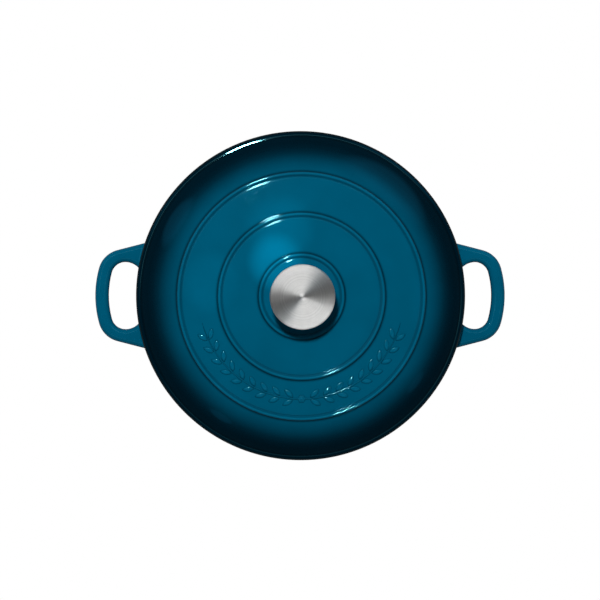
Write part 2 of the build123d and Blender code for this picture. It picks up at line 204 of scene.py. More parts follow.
def smooth_through(points, steps):
    """A smooth curve through the points, with this many steps between neighbours."""
    padded = [points[0], *points, points[-1]]
    curve = [points[0]]
    for before, start, end, after in zip(padded, padded[1:], padded[2:], padded[3:]):
        for k in range(1, steps + 1):
            t = k / steps
            point = []
            for a, b, c, d in zip(before, start, end, after):
                square, cube = 2 * a - 5 * b + 4 * c - d, 3 * b - a - 3 * c + d
                point.append(0.5 * (2 * b + (c - a) * t + square * t**2 + cube * t**3))
            curve.append(tuple(point))
    return curve


def rounded(points, radii, steps=6):
    """A line through the points with its inner corners rounded to the radii."""
    path = [points[0]]
    for before, corner, after, radius in zip(points, points[1:], points[2:], radii):
        if not radius:
            path.append(corner)
            continue
        corner = Vector(corner)
        back = (Vector(before) - corner).normalized()
        ahead = (Vector(after) - corner).normalized()
        half = back.angle(ahead) / 2
        centre = corner + (back + ahead).normalized() * radius / sin(half)
        start = corner + back * radius / sin(half) * cos(half) - centre
        end = corner + ahead * radius / sin(half) * cos(half) - centre
        first, turn = atan2(start.y, start.x), start.angle_signed(end)
        path += arc(centre, radius, first, first - turn, steps)
    path.append(points[-1])
    return path


# ---- Meshes ----


def smooth_piece(name, mesh, shape):
    """An object in the scene with the shape's faces, facing outward and shaded smooth."""
    bmesh.ops.recalc_face_normals(shape, faces=shape.faces)
    for face in shape.faces:
        face.smooth = True
    shape.to_mesh(mesh)
    shape.free()
    piece = bpy.data.objects.new(name, mesh)
    bpy.context.scene.collection.objects.link(piece)
    return piece


def revolved(name, outlines, columns, closed=False):
    """A mesh turned about the Z axis from outlines of (radius, height) points, one material for each."""
    outline, band_of_row = [], []
    for band, points in enumerate(outlines):
        outline += points[1 if outline and points[0] == outline[-1] else 0 :]
        band_of_row += [band] * (len(outline) - len(band_of_row))
    shape = bmesh.new()
    on_axis = 1e-7
    rows = []
    for radius, height in outline:
        if radius < on_axis:
            rows.append([shape.verts.new((0, 0, height))] * columns)
            continue
        turns = [2 * pi * k / columns for k in range(columns)]
        rows.append([shape.verts.new((radius * cos(t), radius * sin(t), height)) for t in turns])
    pairs = list(zip(rows, rows[1:], band_of_row[1:]))
    if closed:
        pairs.append((rows[-1], rows[0], band_of_row[-1]))
    for low, high, band in pairs:
        for k in range(columns):
            n = (k + 1) % columns
            corners = list(dict.fromkeys((low[k], low[n], high[n], high[k])))
            shape.faces.new(corners).material_index = band
    return smooth_piece(name, bpy.data.meshes.new(name), shape)


def from_mesh_parts(name, parts):
    """One object from lists of (points, faces)."""
    points, faces = [], []
    for part_points, part_faces in parts:
        first = len(points)
        points += part_points
        faces += [[first + k for k in face] for face in part_faces]
    mesh = bpy.data.meshes.new(name)
    mesh.from_pydata(points, [], faces)
    shape = bmesh.new()
    shape.from_mesh(mesh)
    return smooth_piece(name, mesh, shape)


# ---- Materials ----


def toned(shade, share):
    return [share * part for part in shade]


class Nodes:
    """Short ways to add and join the nodes of a material or of the surroundings."""

    def __init__(self, owner):
        owner.use_nodes = True
        self.owner = owner
        self.tree = owner.node_tree
        self.shader = self.tree.nodes.get("Principled BSDF")
        self.coordinates = self.add("ShaderNodeTexCoord")
        self.place = self.coordinates.outputs["Object"]

    def put(self, value, socket):
        """Links an output to a socket, or sets the socket's own value."""
        if isinstance(value, bpy.types.NodeSocket):
            self.tree.links.new(value, socket)
        elif socket.type == "RGBA":
            socket.default_value = (*value, 1.0)
        else:
            socket.default_value = value

    def add(self, kind, settings=None, **inputs):
        node = self.tree.nodes.new(kind)
        for key, value in (settings or {}).items():
            setattr(node, key, value)
        for key, value in inputs.items():
            place = int(key[1:]) if key[1:].isdigit() else key.replace("_", " ")
            self.put(value, node.inputs[place])
        return node

    def math(self, operation, first, second=0.0):
        return self.add("ShaderNodeMath", {"operation": operation}, i0=first, i1=second).outputs[0]

    def between(self, value, low, high, start=0.0, end=1.0):
        """A smooth step from start to end as the value goes from low to high."""
        settings = {"interpolation_type": "SMOOTHSTEP"}
        inputs = {"Value": value, "From_Min": low, "From_Max": high, "To_Min": start, "To_Max": end}
        return self.add("ShaderNodeMapRange", settings, **inputs).outputs[0]

    def ramp(self, value, stops):
        """A colour ramp with stops of (value, colour or grey)."""
        low, high = stops[0][0], stops[-1][0]
        share = self.add("ShaderNodeMapRange", None, Value=value, From_Min=low, From_Max=high).outputs[0]
        node = self.add("ShaderNodeValToRGB", None, Fac=share)
        elements = node.color_ramp.elements
        while len(elements) > 1:
            elements.remove(elements[-1])
        for k, (at, shade) in enumerate(stops):
            position = (at - low) / (high - low)
            element = elements.new(position) if k else elements[0]
            element.position = position
            element.color = (*shade, 1.0) if hasattr(shade, "__len__") else (shade, shade, shade, 1.0)
        return node.outputs["Color"]

    def mix(self, share, first, second, blend="MIX"):
        node = self.add("ShaderNodeMix", {"data_type": "RGBA", "blend_type": blend})
        self.put(share, node.inputs[0])
        self.put(first, node.inputs[6])
        self.put(second, node.inputs[7])
        return node.outputs[2]

    def grey(self, value):
        return self.add("ShaderNodeCombineColor", None, Red=value, Green=value, Blue=value).outputs[0]

    def noise(self, scale, detail=2.0, roughness=0.5):
        inputs = {"Vector": self.place, "Scale": scale, "Detail": detail, "Roughness": roughness}
        return self.add("ShaderNodeTexNoise", None, **inputs).outputs["Fac"]

    def lines(self, along, scale, detail=2.0):
        """Noise that changes along one number only, such as the rings of a turned face."""
        settings = {"noise_dimensions": "1D"}
        return self.add("ShaderNodeTexNoise", settings, W=along, Scale=scale, Detail=detail).outputs["Fac"]

    def axis_radius_and_height(self):
        x, y, z = self.add("ShaderNodeSeparateXYZ", None, Vector=self.place).outputs
        square = self.math("ADD", self.math("MULTIPLY", x, x), self.math("MULTIPLY", y, y))
        return self.math("SQRT", square), z

    def bump(self, height, strength, distance, normal=None):
        node = self.add("ShaderNodeBump", None, Height=height, Strength=strength, Distance=distance)
        if normal is not None:
            self.tree.links.new(normal, node.inputs["Normal"])
        return node.outputs["Normal"]

    def finish(self, **inputs):
        for key, value in inputs.items():
            self.put(value, self.shader.inputs[key.replace("_", " ")])
        return self.owner


def material(name):
    return Nodes(bpy.data.materials.new(name))


GLAZE_SHINE = (0.25, 0.85, 1.0)  # tint of what the enamels mirror
GLAZE_ROUGHNESS, CREAM_ROUGHNESS = 0.05, 0.14


def blotched(nodes, colour):
    """A colour with the faint blotches of fired enamel."""
    blotch = nodes.grey(nodes.between(nodes.noise(22.0, 3.0, 0.55), 0.3, 0.7, 0.94, 1.05))
    return nodes.mix(1.0, colour, blotch, "MULTIPLY")


def glazed(nodes, colour, roughness):
    """A glossy finish with the slight waviness of glass on iron."""
    wave = nodes.bump(nodes.noise(70.0, 1.0, 0.4), 0.035, 0.0004)
    peel = nodes.bump(nodes.noise(520.0, 1.0, 0.5), 0.01, 0.0001, wave)
    return nodes.finish(
        Base_Color=colour, Roughness=roughness, IOR=1.5, Specular_Tint=GLAZE_SHINE, Normal=peel
    )


def flecked_cream(nodes, colours):
    """The pale enamel's colour, with the odd dark fleck."""
    flecks = nodes.between(nodes.noise(900.0, 0.0), 0.72, 0.78)
    return nodes.mix(flecks, colours.cream, toned(colours.cream, 0.45))


def matte_roughness(nodes, grain):
    """Roughness of the matte dark coat, which follows its grain."""
    return nodes.between(grain, 0.3, 0.7, 0.42, 0.58)


def speckled(nodes, distance, size):
    """A distance with the fine spatter that a spray gun leaves where one colour fades into another."""
    grain = nodes.math("SUBTRACT", nodes.noise(1500.0, 1.0), 0.5)
    return nodes.math("ADD", distance, nodes.math("MULTIPLY", grain, size))


LID_FADE = (  # lid's edge in, in millimetres, and the share of teal there
    (34.2, 1.0),
    (33.4, 0.80),
    (31.1, 0.72),
    (26.8, 0.57),
    (22.7, 0.38),
    (18.4, 0.165),
    (14.0, 0.058),
    (9.7, 0.02),
    (5.5, 0.02),
    (0.0, 0.02),
)
POT_FADE = (  # height above the resting plane, in metres, and the share of teal there
    (0.0, 0.03),
    (0.022, 0.05),
    (0.036, 0.14),
    (0.052, 0.42),
    (0.068, 0.78),
    (0.084, 1.0),
    (0.12, 1.0),
)


def lid_enamel(colours, sizes):
    """Teal on the dome, fading to near black at the edge, with painted shade in each ring's groove and on its
    steep outer flank and a painted highlight along its crest.
    """
    nodes = material("lid_enamel")
    radius, _ = nodes.axis_radius_and_height()
    stops = [(sizes.radius - inset * MM, share) for inset, share in LID_FADE]
    teal = nodes.ramp(speckled(nodes, radius, 0.003), [(0.0, 1.0), *stops])
    innermost = sizes.radius - sizes.outer_ring - (sizes.ring_count - 1) * sizes.ring_spacing
    turned = nodes.math("SUBTRACT", radius, innermost - sizes.ring_spacing)
    past_crest = nodes.math("MODULO", turned, sizes.ring_spacing)
    # painted shade in the groove and on the outer flank of each ring, painted highlight along its crest
    painted_ring_shade = nodes.ramp(
        past_crest,
        (
            (0.0, 1.12),
            (0.0006, 1.0),
            (0.0012, 0.36),
            (0.0019, 0.28),
            (0.0026, 0.75),
            (0.0037, 1.0),
            (sizes.ring_spacing - 0.0033, 1.0),
            (sizes.ring_spacing - 0.0026, 0.70),
            (sizes.ring_spacing - 0.0013, 0.74),
            (sizes.ring_spacing - 0.0006, 1.15),
            (sizes.ring_spacing, 1.15),
        ),
    )
    sprayed = nodes.mix(teal, colours.night, colours.teal)
    return glazed(nodes, blotched(nodes, nodes.mix(1.0, sprayed, painted_ring_shade, "MULTIPLY")), GLAZE_ROUGHNESS)


def garland_enamel(colours, sizes):
    """The lid's teal on the leaves, with painted shade at their feet and a painted highlight on their tops.
    """
    nodes = material("garland_enamel")
    radius, height = nodes.axis_radius_and_height()
    sag = nodes.math("DIVIDE", nodes.math("MULTIPLY", radius, radius), 2 * sizes.dome_radius)
    above = nodes.math("SUBTRACT", nodes.math("ADD", height, sag), dome_height(sizes, 0))
    # painted shade at the foot of the relief, painted highlight on its tops
    tone = nodes.ramp(above, ((-0.0003, 0.30), (0.0002, 0.38), (0.0006, 0.95), (0.0012, 1.2)))
    return glazed(nodes, blotched(nodes, nodes.mix(1.0, tone, colours.teal, "MULTIPLY")), GLAZE_ROUGHNESS)


def cream_enamel(colours):
    """The pale enamel under the lid."""
    nodes = material("cream_enamel")
    return glazed(nodes, blotched(nodes, flecked_cream(nodes, colours)), CREAM_ROUGHNESS)


def seat_enamel(colours):
    """The matte dark coat where the lid and the rim meet."""
    nodes = material("seat_enamel")
    grain = nodes.noise(1100.0, 3.0, 0.6)
    worn = nodes.between(nodes.noise(150.0, 2.0), 0.55, 0.75)
    shade = nodes.mix(worn, colours.rim, toned(colours.rim, 2.2))
    rough = matte_roughness(nodes, grain)
    return nodes.finish(Base_Color=shade, Roughness=rough, Normal=nodes.bump(grain, 0.25, 0.0002))


def pot_enamel(colours, pot):
    """Teal on the handles and the upper wall, near black towards the foot, cream inside and a dark rim."""
    nodes = material("pot_enamel")
    radius, height = nodes.axis_radius_and_height()
    upward = nodes.math("SUBTRACT", height, pot.corner)
    lean = nodes.math("MULTIPLY", nodes.math("MAXIMUM", upward, 0.0), tan(pot.draft))
    outward = nodes.math("SUBTRACT", nodes.math("SUBTRACT", radius, pot.corner_centre), lean)
    across = nodes.math("MAXIMUM", outward, 0.0)
    down = nodes.math("MINIMUM", upward, 0.0)
    square = nodes.math("ADD", nodes.math("MULTIPLY", across, across), nodes.math("MULTIPLY", down, down))
    depth = nodes.math("SQRT", square)
    middle = pot.corner - pot.wall / 2
    inside = nodes.between(depth, middle + 0.0002, middle - 0.0002)
    faded = speckled(nodes, height, 0.006)
    teal = nodes.ramp(faded, POT_FADE)
    sprayed = nodes.mix(teal, colours.night, colours.teal)
    coloured = nodes.mix(inside, sprayed, flecked_cream(nodes, colours))
    near_axis = nodes.between(radius, pot.rim_radius + 0.0006, pot.rim_radius + 0.0001)
    near_top = nodes.between(height, POT_BOX[1].z - 0.0016, POT_BOX[1].z - 0.0012)
    rim = nodes.math("MULTIPLY", near_top, near_axis)
    foot = nodes.between(height, 0.0006, 0.0002)
    matte = nodes.math("MAXIMUM", rim, foot)
    grain = nodes.noise(1100.0, 3.0, 0.6)
    colour = nodes.mix(matte, blotched(nodes, coloured), colours.rim)
    glossy = nodes.mix(inside, (GLAZE_ROUGHNESS,) * 3, (CREAM_ROUGHNESS,) * 3)
    rough = nodes.mix(matte, glossy, nodes.grey(matte_roughness(nodes, grain)))
    return glazed(nodes, colour, rough)


def brushed_steel(colours):
    """Steel brushed in circles about the knob's axis, with the finer rings of its turned middle."""
    nodes = material("brushed_steel")
    radius, _ = nodes.axis_radius_and_height()
    fine = nodes.lines(radius, 5200.0, 3.0)
    coarse = nodes.lines(radius, 900.0, 2.0)
    tangent = nodes.add("ShaderNodeTangent", {"direction_type": "RADIAL", "axis": "Z"}).outputs[0]
    scratch = nodes.math("ADD", nodes.math("MULTIPLY", fine, 0.6), nodes.math("MULTIPLY", coarse, 0.4))
    shade = nodes.mix(nodes.between(scratch, 0.35, 0.65), toned(colours.steel, 0.84), colours.steel)
    smear = nodes.between(nodes.noise(160.0, 3.0, 0.6), 0.3, 0.7, 0.96, 1.03)
    return nodes.finish(
        Base_Color=nodes.mix(1.0, shade, nodes.grey(smear), "MULTIPLY"),
        Metallic=1.0,
        Roughness=nodes.between(fine, 0.3, 0.7, 0.38, 0.46),
        Anisotropic=0.8,
        Anisotropic_Rotation=0.25,
        Tangent=tangent,
        Normal=nodes.bump(scratch, 0.25, 0.00004),
    )


def polished_steel(colours):
    """Bright steel with the faint rings of spinning round the stem."""
    nodes = material("polished_steel")
    _, height = nodes.axis_radius_and_height()
    rings = nodes.lines(height, 2600.0)
    smear = nodes.noise(60.0, 3.0)
    return nodes.finish(
        Base_Color=nodes.mix(nodes.between(smear, 0.3, 0.7), toned(colours.steel, 0.92), colours.steel),
        Metallic=1.0,
        Roughness=nodes.between(smear, 0.3, 0.7, 0.13, 0.22),
        Normal=nodes.bump(rings, 0.08, 0.00003),
    )


def silicone(colours):
    """The gasket's dark silicone with a moulded grain."""
    nodes = material("silicone")
    grain = nodes.noise(1800.0, 2.0)
    shade = nodes.mix(nodes.between(grain, 0.3, 0.7), colours.silicone, toned(colours.silicone, 1.6))
    return nodes.finish(Base_Color=shade, Roughness=0.6, Normal=nodes.bump(grain, 0.15, 0.00008))


def turned_steel(colours, name, tone, roughness):
    """Plain steel with turning marks in circles, for the screw, washers and insert."""
    nodes = material(name)
    radius, height = nodes.axis_radius_and_height()
    marks = nodes.lines(nodes.math("ADD", radius, nodes.math("MULTIPLY", height, 0.4)), 4200.0)
    low, high = toned(colours.steel, 0.78 * tone), toned(colours.steel, tone)
    return nodes.finish(
        Base_Color=nodes.mix(nodes.between(marks, 0.35, 0.65), low, high),
        Metallic=1.0,
        Roughness=nodes.between(nodes.noise(300.0, 2.0), 0.3, 0.7, roughness, roughness + 0.1),
        Normal=nodes.bump(marks, 0.2, 0.00005),
    )


def dress(piece, *materials):
    piece.data.materials.clear()
    for material in materials:
        piece.data.materials.append(material)


def dress_node(node, material):
    """Gives a piece of the frame its finish, and leaves its mesh as it is."""
    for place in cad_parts[node].material_slots:
        place.link = "OBJECT"
        place.material = material


# ---- Lid ----


def dome_height(sizes, radius, sunk=0.0):
    """Height of the shallow dome at a radius, or of the dome sunk by a thickness."""
    crown = sizes.knob_seat - sizes.knob_seat_rise
    return crown - sizes.dome_radius + sqrt((sizes.dome_radius - sunk) ** 2 - radius**2)


def shoulder_height(sizes, radius):
    """Height of the shoulder outside the outer ring, an arc that steepens towards the edge."""
    start = sizes.radius - sizes.outer_ring
    top = dome_height(sizes, start)
    drop = top - sizes.seat - sizes.band_height
    return falling_arc(start, top, sizes.radius - sizes.shoulder_end, drop, sizes.shoulder_lean)(radius)


def surface_height(sizes, radius):
    """Height of the lid's top without its rings."""
    inside = radius < sizes.radius - sizes.outer_ring
    return dome_height(sizes, radius) if inside else shoulder_height(sizes, radius)


def ring_section(sizes, ring):
    """Section of a ring, as (out from its crest, above the lid): a groove, then a steep-sided bead."""
    section = arc((-ring.start, -ring.edge), ring.edge, pi / 2, pi / 2 - ring.fall, 5)
    bottom = Vector(section[-1]) + Vector((sin(ring.fall), cos(ring.fall))) * ring.groove
    section += arc(bottom, ring.groove, 1.5 * pi - ring.fall, 1.5 * pi + ring.rise, 7)[1:]
    crest = (0.0, sizes.ring_height - ring.bead)
    section += arc(crest, ring.bead, pi / 2 + ring.rise, pi / 2 - ring.flank, 14)
    low_out, low_above = section[-1]
    foot = low_out + low_above / tan(ring.flank)
    section += [(foot - 0.0001, 0.0003), (foot + 0.0001, 0.00006)]
    return section + [(foot + out, 0.0) for out in (0.0003, 0.0005, 0.0008)]


def top_outline(sizes, ring_sizes):
    """The lid's top from the screw's hole to the lower corner of its edge."""
    pad = sizes.knob_seat_radius
    outline = rounded(
        [
            (sizes.hole_radius, dome_height(sizes, 0, sizes.wall) - sizes.boss_depth),
            (sizes.hole_radius, sizes.knob_seat),
            (pad, sizes.knob_seat),
            (pad + sizes.knob_seat_rise, dome_height(sizes, pad)),
        ],
        (0.0003, 0.0003),
        3,
    )
    section = ring_section(sizes, ring_sizes)
    rings = sorted(sizes.radius - sizes.outer_ring - n * sizes.ring_spacing for n in range(sizes.ring_count))
    for ring in rings:
        reached, first = outline[-1][0], ring + section[0][0]
        steps = ceil((first - reached) / (2.5 * MM))
        outline += [(r, dome_height(sizes, r)) for r in spaced(reached, first, steps)[:-1]]
        for out, above in section:
            under = dome_height if above > sizes.ring_height / 3 else surface_height
            outline.append((ring + out, under(sizes, ring + out) + above))
    band = sizes.seat + sizes.band_height
    corner = band - sizes.shoulder_end * tan(sizes.band_fall)
    foot = sizes.radius - sizes.shoulder_end
    reached = outline[-1][0]
    shoulder = [(r, shoulder_height(sizes, r)) for r in spaced(reached, foot, 26)]
    rim = [(sizes.radius, corner), (sizes.radius, sizes.seat), (sizes.skirt_outer, sizes.seat)]
    edge = rounded(
        [shoulder[-3], shoulder[-1], *rim],
        (sizes.shoulder_fillet, sizes.band_rounding, sizes.seat_rounding),
        12,
    )
    return outline + [point for point in shoulder if point[0] < edge[1][0]] + edge[1:]


def seat_outline(sizes):
    """The locating skirt that drops into the pot's mouth."""
    bottom = LID_BOX[0].z
    inner = sizes.skirt_outer - sizes.skirt_width
    return rounded(
        [
            (sizes.skirt_outer, sizes.seat),
            (sizes.skirt_outer, bottom),
            (inner, bottom),
            (inner, sizes.seat + sizes.under_shoulder),
        ],
        (sizes.skirt_rounding, sizes.skirt_rounding),
        6,
    )


def under_outline(sizes):
    """The hollow under the lid, from the skirt back to the pad round the screw's hole."""
    start = sizes.radius - sizes.outer_ring - sizes.wall * sin(sizes.shoulder_lean)
    end = sizes.skirt_outer - sizes.skirt_width
    ceiling = dome_height(sizes, start, sizes.wall)
    drop = ceiling - sizes.seat - sizes.under_shoulder
    height = falling_arc(start, ceiling, end, drop, sizes.shoulder_lean)
    curve = [(r, height(r)) for r in spaced(end, start, 14)]
    boss = sizes.boss_radius
    steps = ceil((start - boss) / (4 * MM))
    curve += [(r, dome_height(sizes, r, sizes.wall)) for r in spaced(start, boss, steps)]
    washer_face = dome_height(sizes, 0, sizes.wall) - sizes.boss_depth
    return curve + [(boss, washer_face), (sizes.hole_radius, washer_face)]


def drip_points(sizes):
    """The blunt points under the lid, in circles, that let condensed water fall back."""
    parts = []
    rows, columns = 6, 16
    for circle in range(1, sizes.drip_circles + 1):
        distance = circle * sizes.drip_spacing
        ceiling = dome_height(sizes, distance, sizes.wall)
        for k in range(6 * circle):
            turn = 2 * pi * k / (6 * circle)
            x, y = distance * cos(turn), distance * sin(turn)
            points = [(x, y, ceiling - sizes.drip_height)]
            for row in range(1, rows + 1):
                swell = 0.5 * pi * row / rows
                out = sizes.drip_radius * sin(swell)
                height = ceiling - sizes.drip_height + sizes.drip_radius * (1 - cos(swell))
                turns = [2 * pi * n / columns for n in range(columns)]
                points += [(x + out * cos(t), y + out * sin(t), height) for t in turns]
            faces = [[0, 1 + n, 1 + (n + 1) % columns] for n in range(columns)]
            for row in range(rows - 1):
                low, high = 1 + row * columns, 1 + (row + 1) * columns
                for n in range(columns):
                    m = (n + 1) % columns
                    faces.append([low + n, high + n, high + m, low + m])
            faces.append([1 + (rows - 1) * columns + n for n in range(columns)][::-1])
            parts.append((points, faces))
    return parts


def bands(rows, columns):
    """Four-sided faces between rings of points."""
    faces = []
    for low in range(0, (rows - 1) * columns, columns):
        high = low + columns
        for k in range(columns):
            n = (k + 1) % columns
            faces.append([low + k, low + n, high + n, high + k])
    return faces


def leaf_part(sizes, garland, middle, heading):
    """One pillowed leaf with a groove along its midrib, laid on the dome at a place and heading."""
    half_length, half_width = garland.leaf_length / 2, garland.leaf_width / 2
    along = Vector((cos(heading), sin(heading)))
    across = Vector((-sin(heading), cos(heading)))

    def spot(out, turn):
        u = cos(turn) * out
        v = sin(turn) * out * (1 - 0.4 * abs(cos(turn)) ** 3)
        swell = (1 - out**2.6) ** 0.6
        rib = 0.05 * max(0.0, 1 - abs(v) / 0.3) ** 2 * swell
        return middle + along * u * half_length + across * v * half_width, swell * (1 - 0.18 * abs(u)) - rib

    return raised_patch(sizes, garland, spot, 36)


def rosette_part(sizes, garland, middle):
    """The round flower in the middle of the garland, with petals about a bead."""
    petals = 6

    def spot(out, turn):
        lobe = abs(cos(petals * turn / 2))
        reach = garland.rosette_radius * out * (1 - 0.16 * out * (1 - lobe))
        petal = (1 - out**2.6) ** 0.6 * (0.72 + 0.1 * lobe)
        bead = 0.5 * sqrt(max(0.0, 1 - (out / 0.34) ** 2))
        groove = 0.22 * max(0.0, 1 - abs(out - 0.4) / 0.12)
        return middle + Vector((cos(turn), sin(turn))) * reach, petal + bead - groove

    return raised_patch(sizes, garland, spot, 60)


def raised_patch(sizes, garland, spot, columns):
    """A closed patch on the dome, sunk into the iron: spot gives a point's place and share of the height."""
    rows, points = 12, []
    for row in range(rows):
        out = cos(0.5 * pi * row / rows)
        for k in range(columns):
            flat, share = spot(out, 2 * pi * k / columns)
            points.append((flat.x, flat.y, dome_height(sizes, flat.length) + garland.height * share))
    faces = bands(rows, columns)
    last = (rows - 1) * columns
    middle = [sum(p[axis] for p in points[last:]) / columns for axis in range(3)]
    sunk = [(x, y, z - garland.height) for x, y, z in points[:columns]]
    top, first = len(points), len(points) + 1
    faces += [[last + k, last + (k + 1) % columns, top] for k in range(columns)]
    faces += [[k, first + k, first + (k + 1) % columns, (k + 1) % columns] for k in range(columns)]
    faces.append([first + k for k in range(columns)])
    return [*points, tuple(middle), *sunk], faces


def stem_part(sizes, garland, track, front):
    """The thin round stem that the leaves grow from, tapered to its two ends."""
    sections, sides = 160, 8
    half, height = garland.stem_width / 2, 0.55 * garland.height
    points = []
    for n in range(sections + 1):
        share = 2 * n / sections - 1
        turn = front + share * garland.reach
        taper = sqrt(max(0.05, 1 - share**6))
        for k in range(sides + 1):
            swing = pi * k / sides
            radius = track + half * taper * cos(swing)
            lift = height * taper * sin(swing)
            points.append((radius * cos(turn), radius * sin(turn), dome_height(sizes, radius) + lift))
        for radius in (track - half * taper, track + half * taper):
            sunk = dome_height(sizes, radius) - height
            points.append((radius * cos(turn), radius * sin(turn), sunk))
    loop = sides + 3
    ends = [list(range(loop)), [sections * loop + k for k in reversed(range(loop))]]
    return points, bands(sections + 1, loop) + ends


def garland_parts(sizes, garland):
    rings = [sizes.radius - sizes.outer_ring - n * sizes.ring_spacing for n in range(2)]
    track = sum(rings) / 2
    front = -pi / 2
    step = garland.reach / (garland.pairs + 1)
    parts = [
        stem_part(sizes, garland, track, front),
        rosette_part(sizes, garland, Vector((track * cos(front), track * sin(front)))),
    ]
    for arm in (-1, 1):
        for pair in range(1, garland.pairs + 1):
            turn = front + arm * pair * step
            for side in (-1, 1):
                distance = track + side * garland.leaf_offset
                place = Vector((distance * cos(turn), distance * sin(turn)))
                heading = turn + arm * pi / 2 - arm * side * garland.leaf_slant
                parts.append(leaf_part(sizes, garland, place, heading))
    return parts


# ---- Knob ----


def cap_outline(knob):
    """The cap from the middle of its face, over the edge and the lip, to the middle underneath."""
    radius, top, bottom = CAP_BOX[1].x, CAP_BOX[1].z, CAP_BOX[0].z
    bend = (knob.crown**2 + radius**2) / (2 * knob.crown)
    peak = top + bend - sqrt(bend**2 - knob.dimple_radius**2)
    edge = peak - knob.crown
    inner = radius - knob.sheet
    land = inner - knob.land
    dimple = knob.dimple_radius
    hollow = ((0.0, 0.0003), (0.3, 0.00029), (0.75, 0.00012), (1.0, 0.0))
    middle = [(share * dimple, top - depth) for share, depth in hollow]
    face = [(r, peak - bend + sqrt(bend**2 - r**2)) for r in spaced(dimple, radius - knob.bevel * 1.3, 36)]
    lip = rounded(
        [face[-1], (radius, edge), (radius, bottom), (inner, bottom), (inner, edge - knob.sheet)],
        (knob.bevel, 0.0003, 0.0003),
        8,
    )
    ceiling = peak - edge
    under = (ceiling**2 + land**2) / (2 * ceiling)
    roof = [(r, peak - knob.sheet - under + sqrt(under**2 - r**2)) for r in spaced(land, 0, 8)]
    return smooth_through(middle, 4) + face + lip[1:] + [(land, edge - knob.sheet)] + roof


def stem_outline(knob):
    base, rim_top = STEM_BOX[0].z, STEM_BOX[1].z
    rim = STEM_BOX[1].x
    neck = base + knob.neck_height
    flare_end = CAP_BOX[0].z + knob.tuck

    def side(inset):
        foot_across, foot_along = knob.foot_radius - knob.neck_radius, knob.neck_height - knob.foot_height
        foot_bend = (foot_across**2 + foot_along**2) / (2 * foot_across) - knob.sheet + inset
        flare_across, flare_along = rim - knob.neck_radius, flare_end - neck
        flare_bend = (flare_across**2 + flare_along**2) / (2 * flare_across) + inset
        foot_centre = knob.neck_radius - inset + foot_bend
        flare_centre = knob.neck_radius - inset + flare_bend
        foot_turn = acos((foot_centre - (knob.foot_radius - inset)) / foot_bend)
        flare_turn = acos((flare_centre - (rim - inset)) / flare_bend)
        low = arc((foot_centre, neck), foot_bend, pi + foot_turn, pi, 12)
        high = arc((flare_centre, neck), flare_bend, pi, pi - flare_turn, 28)
        return [(knob.foot_radius - inset, base), *low, *high[1:], (rim - inset, rim_top)]

    return side(0.0) + side(knob.sheet)[::-1]


# ---- Operators ----


def ride_on_lid(piece, replaced=None, lit_with=None):
    if lit_with:
        bpy.data.collections[lit_with].objects.link(piece)
    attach(piece, "lid")
    if replaced:
        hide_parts(replaced)


class CASSEROLE_OT_lid(bpy.types.Operator):
    """Builds the lid's casting with its rings, edge band, locating skirt and drip points"""

    bl_idname = "casserole.lid"
    bl_label = "Lid"

    def execute(self, context):
        scene = context.scene
        sizes, colours = scene.casserole_lid, scene.casserole_colours
        outlines = (top_outline(sizes, scene.casserole_ring), seat_outline(sizes), under_outline(sizes))
        casting = revolved("lid_casting", outlines, sizes.columns, closed=True)
        inside = cream_enamel(colours)
        dress(casting, lid_enamel(colours, sizes), seat_enamel(colours), inside)
        ride_on_lid(casting, "lid", "glossy_enamel")
        points = from_mesh_parts("lid_drip_points", drip_points(sizes))
        dress(points, inside)
        ride_on_lid(points)
        return {"FINISHED"}


class CASSEROLE_OT_garland(bpy.types.Operator):
    """Builds the raised leaves, stem and rosette between the two outer rings"""

    bl_idname = "casserole.garland"
    bl_label = "Garland"

    def execute(self, context):
        scene = context.scene
        piece = from_mesh_parts("lid_garland", garland_parts(scene.casserole_lid, scene.casserole_garland))
        dress(piece, garland_enamel(scene.casserole_colours, scene.casserole_lid))
        ride_on_lid(piece, None, "glossy_enamel")
        return {"FINISHED"}


class CASSEROLE_OT_pot(bpy.types.Operator):
    """Gives the pot its enamels"""

    bl_idname = "casserole.pot"
    bl_label = "Pot"

    def execute(self, context):
        scene = context.scene
        dress_node("pot_body", pot_enamel(scene.casserole_colours, scene.casserole_pot))
        return {"FINISHED"}


class CASSEROLE_OT_knob(bpy.types.Operator):
    """Builds the knob's brushed cap and its flared stem"""

    bl_idname = "casserole.knob"
    bl_label = "Knob"

    def execute(self, context):
        knob, colours = context.scene.casserole_knob, context.scene.casserole_colours
        cap = revolved("knob_cap_disc", [cap_outline(knob)], knob.columns)
        dress(cap, brushed_steel(colours))
        ride_on_lid(cap, "knob_cap", "bright_steel")
        stem = revolved("knob_stem_shell", [stem_outline(knob)], knob.columns, closed=True)
        dress(stem, polished_steel(colours))
        ride_on_lid(stem, "knob_stem")
        return {"FINISHED"}


class CASSEROLE_OT_fittings(bpy.types.Operator):
    """Gives the gasket, insert, screw and washers their finishes"""

    bl_idname = "casserole.fittings"
    bl_label = "Fittings"

    def execute(self, context):
        colours = context.scene.casserole_colours
        fastener = turned_steel(colours, "fastener_steel", 0.86, 0.24)
        for node in ("knob_screw", "plain_washer", "lock_washer"):
            dress_node(node, fastener)
        dress_node("knob_insert", turned_steel(colours, "insert_metal", 0.72, 0.32))
        dress_node("knob_gasket", silicone(colours))
        return {"FINISHED"}


SOFTBOXES = (  # bearing from the back, tilt from upright, spread of the box, all in degrees, and its strength
    (40, 59, 16, 0.56),
    (301, 62, 9, 0.55),
    (212, 62, 4, 0.35),
    (127, 62, 4, 0.30),
)


def toward(bearing, tilt):
    """The direction at a bearing clockwise from the back and a tilt from upright, in radians."""
    return Vector((sin(bearing) * sin(tilt), cos(bearing) * sin(tilt), cos(tilt)))


